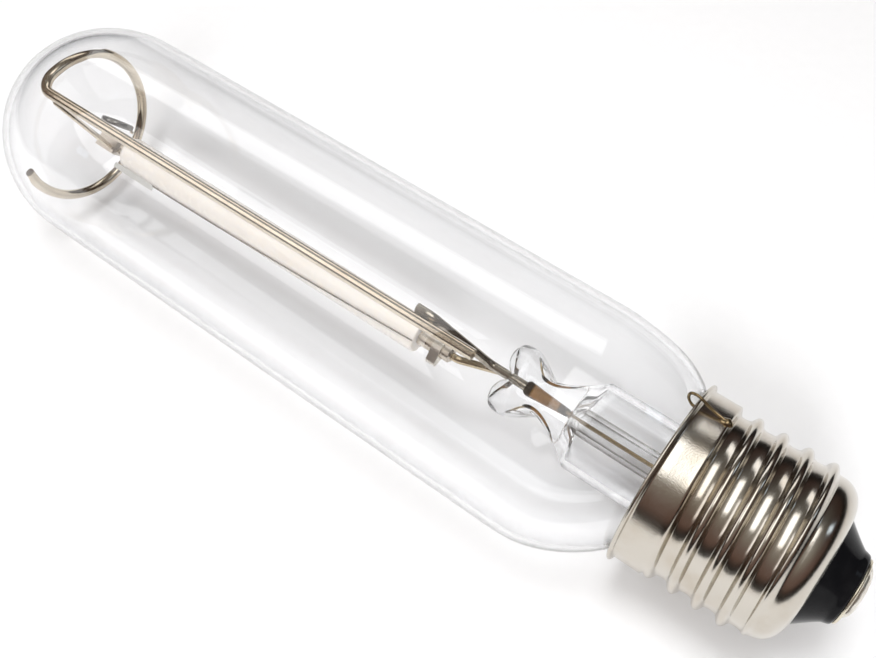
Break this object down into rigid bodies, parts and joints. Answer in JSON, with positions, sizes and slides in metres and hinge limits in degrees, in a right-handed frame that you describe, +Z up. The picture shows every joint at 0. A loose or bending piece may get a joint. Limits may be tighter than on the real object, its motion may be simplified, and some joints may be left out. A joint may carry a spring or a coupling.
{
  "type": "sodium vapour bulb",
  "caption": "Clear tubular high-pressure sodium lamp with an Edison screw cap, a ceramic arc tube on a wire frame and a pressed glass stem, lying on its side.",
  "frame": {"origin": "middle of the lamp's bounding box, on the ground below the glass tube", "axes": "+X along the tube from the dome to the cap, +Z up as the lamp lies"},
  "size_m": [0.1542, 0.037, 0.037],
  "materials": {
    "clear_glass": "clear, smooth",
    "nickelled_wire": "bright drawn wire",
    "warm_wire": "bright drawn wire",
    "seal_metal": "oxidised",
    "brass_wire": "bright drawn wire",
    "alumina": "translucent, satin",
    "niobium": "satin",
    "tungsten": "satin",
    "strap_metal": "satin",
    "nickelled_cap": "nickel plate, glossy thread and satin skirt",
    "black_glass": "glossy",
    "contact_metal": "bright",
    "solder": "dull bright",
    "cement": "matt"
  },
  "bodies": {
    "root": {"outer_bulb": "clear_glass", "stem_glass": "clear_glass", "exhaust_tube": "clear_glass", "frame_wire": "nickelled_wire", "frame_lead": "nickelled_wire", "short_lead": "warm_wire", "frame_seal_pin": "seal_metal", "short_seal_pin": "seal_metal", "side_lead": "brass_wire", "centre_lead": "brass_wire", "arc_tube": "alumina", "far_niobium_tube": "niobium", "near_niobium_tube": "niobium", "far_electrode": "tungsten", "near_electrode": "tungsten", "far_strap": "strap_metal", "near_strap": "strap_metal", "ignition_strip": "strap_metal", "ignition_wire": "tungsten", "getter_ring": "strap_metal", "getter_wire": "nickelled_wire", "cap_shell": "nickelled_cap", "cap_insulator": "black_glass", "centre_contact": "contact_metal", "contact_solder": "solder", "side_solder": "solder", "cap_cement": "cement"}
  },
  "joints": []
}
